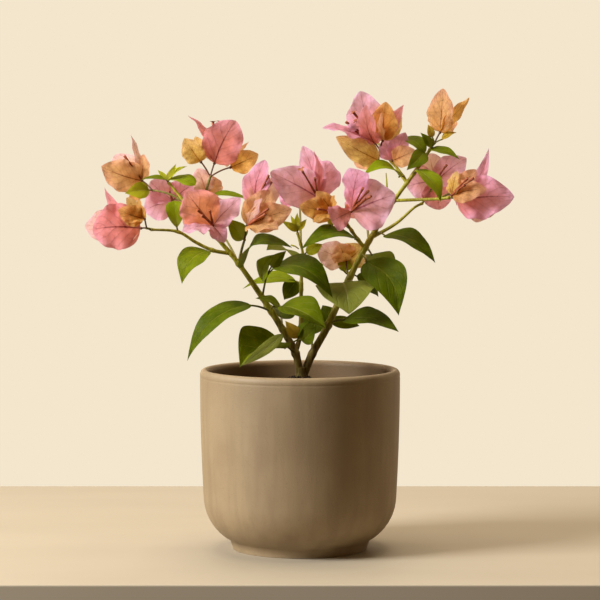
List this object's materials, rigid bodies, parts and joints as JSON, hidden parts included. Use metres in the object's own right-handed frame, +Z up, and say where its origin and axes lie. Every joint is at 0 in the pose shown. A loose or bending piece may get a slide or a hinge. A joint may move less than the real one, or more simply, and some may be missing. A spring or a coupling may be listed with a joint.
{
  "type": "potted bougainvillea bush",
  "caption": "Small flowering bougainvillea bush with woody stems from one foot, papery bracts and pointed leaves, in a round-cornered ceramic pot",
  "frame": {"origin": "centre of the pot's flat underside", "axes": "+Z up, +Y to the back of the plant, +X to its right seen from the front"},
  "size_m": [0.317, 0.163, 0.345],
  "materials": {
    "pot": "matte",
    "soil": "matte",
    "bark": "matte",
    "greenwood": "matte",
    "leaf": "satin",
    "bract": "satin"
  },
  "bodies": {
    "root": {"pot": "pot", "soil": "soil", "foot": "bark", "stem_left": "bark", "stem_right": "bark", "stem_middle": "bark", "bough_left": "greenwood", "bough_right_low": "greenwood", "bough_right_high": "greenwood", "bough_top": "greenwood", "bough_inner": "greenwood", "spray_left_far": "bract", "leaf_left_upper": "leaf", "spray_left_bloom": "bract", "shoot_left": "leaf", "spray_left_back": "bract", "spray_left_front": "bract", "spray_left_top": "bract", "spray_inner_left": "bract", "shoot_middle": "leaf", "spray_middle": "bract", "spray_inner": "bract", "spray_top": "bract", "leaf_top": "leaf", "spray_right_tip": "bract", "leaf_right_tip": "leaf", "spray_right": "bract", "spray_right_low": "bract", "leaf_right_front": "leaf", "spray_inner_back": "bract", "leaf_low_left": "leaf", "leaf_foot_left": "leaf", "leaf_left": "leaf", "sprig_left": "leaf", "sprig_front": "leaf", "sprig_foot": "leaf", "sprig_right": "leaf", "leaf_right_back": "leaf", "leaf_right": "leaf", "leaf_inner_top": "leaf", "leaf_right_high": "leaf", "leaf_low_right": "leaf", "leaf_low_back": "leaf", "sprig_middle": "leaf", "sprig_middle_top": "leaf", "leaf_back_low": "leaf", "leaf_back_left": "leaf", "leaf_back_middle": "leaf", "leaf_back_high": "leaf", "leaf_back_right": "leaf", "leaf_back_far": "leaf", "spray_back_middle": "bract", "spray_back_left": "bract", "spray_back_far_left": "bract", "spray_back_right": "bract", "spray_back_top": "bract", "spray_back_far": "bract"}
  },
  "joints": []
}
